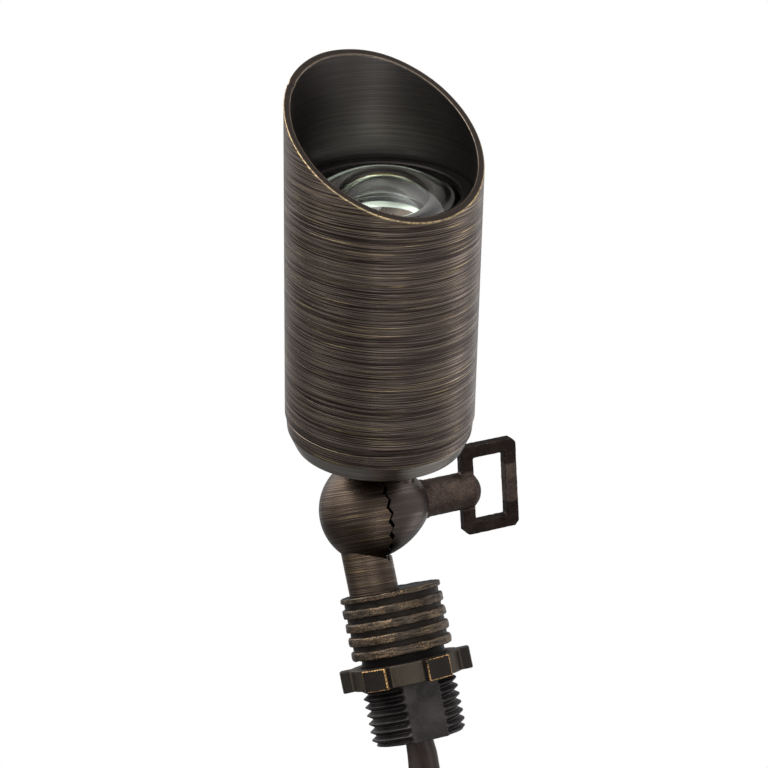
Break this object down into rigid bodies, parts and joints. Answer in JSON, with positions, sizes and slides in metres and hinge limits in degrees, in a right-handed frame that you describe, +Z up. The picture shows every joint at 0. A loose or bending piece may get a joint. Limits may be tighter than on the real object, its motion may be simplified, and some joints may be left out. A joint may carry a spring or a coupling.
{
  "type": "garden spike spotlight",
  "caption": "Antique-brass outdoor spotlight with a slant-cut shroud, serrated tilting knuckle with thumbscrew, ribbed threaded stem with locknut, and flat twin lead.",
  "frame": {"origin": "on the stem's axis, where the locknut's underside meets the threaded shank", "axes": "+Z up along the stem, +X along the knuckle's axis towards the thumbscrew, the head leans towards -Y"},
  "size_m": [0.0543, 0.0722, 0.3327],
  "materials": {
    "brushed_bronze": "antique bronze over brass, brushed round the axis",
    "cast_bronze": "antique bronze, rough cast with worn crests",
    "black_nut": "blackened, with worn brass edges",
    "plain_brass": "plain turned",
    "steel": "plain",
    "aluminium": "satin",
    "bright_reflector": "bright, faceted",
    "rubber": "matt",
    "brown_lead": "semi-gloss dark brown jacket",
    "wire": "glossy",
    "tie": "matt",
    "copper": "bare tinned copper strands",
    "circuit_board": "solder mask",
    "white_board": "white solder mask",
    "component": "plain",
    "phosphor": "clear over yellow",
    "glass": "clear, polished"
  },
  "bodies": {
    "stem": {"stem_base": "cast_bronze", "lower_knuckle_arm": "brushed_bronze", "cord_bush": "rubber", "cord_inner": "brown_lead", "stem_wires": "wire", "cord": "brown_lead", "cord_hank": "brown_lead", "hank_tie": "tie", "lead_insulation": "brown_lead", "lead_strands": "copper"},
    "locknut": {"locknut": "black_nut"},
    "washer": {"screw_washer": "cast_bronze"},
    "thumbscrew": {"thumbscrew": "cast_bronze", "thumbscrew_stud": "plain_brass"},
    "head": {"upper_knuckle_arm": "brushed_bronze", "arm_gasket": "rubber", "arm_nut": "plain_brass", "lamp_base": "brushed_bronze", "lower_seal": "rubber", "upper_seal": "rubber", "driver_board": "circuit_board", "driver_parts": "component", "driver_screws": "steel", "board_spacers": "plain_brass", "head_wires": "wire", "lamp_plate": "aluminium", "led_board": "white_board", "led_chip": "phosphor", "board_screws": "steel", "reflector": "bright_reflector", "lens_gasket": "rubber", "lens": "glass", "lens_ring": "cast_bronze"},
    "shroud": {"shroud": "brushed_bronze"}
  },
  "joints": [
    {"name": "knuckle_tilt", "type": "hinge", "parent": "stem", "child": "head", "pos_m": [0, 0, 0.038], "axis": [1, 0, 0], "range_deg": [-122, 58]},
    {"name": "shroud_turn", "type": "hinge", "parent": "head", "child": "shroud", "pos_m": [0.00114, 0, 0.038], "axis": [0, -0.5299, 0.848], "continuous": true},
    {"name": "thumbscrew_slide", "type": "slide", "parent": "stem", "child": "washer", "axis": [1, 0, 0], "range_m": [0, 0.0025]},
    {"name": "thumbscrew_turn", "type": "hinge", "parent": "washer", "child": "thumbscrew", "pos_m": [0, 0, 0.038], "axis": [1, 0, 0], "range_deg": [0, 1080]},
    {"name": "locknut_turn", "type": "hinge", "parent": "stem", "child": "locknut", "pos_m": [0, 0, 0], "axis": [0, 0, 1], "continuous": true}
  ],
  "couplings": [
    {"joint": "thumbscrew_slide", "follows": "thumbscrew_turn", "m_per_rad": 0.00012732}
  ]
}
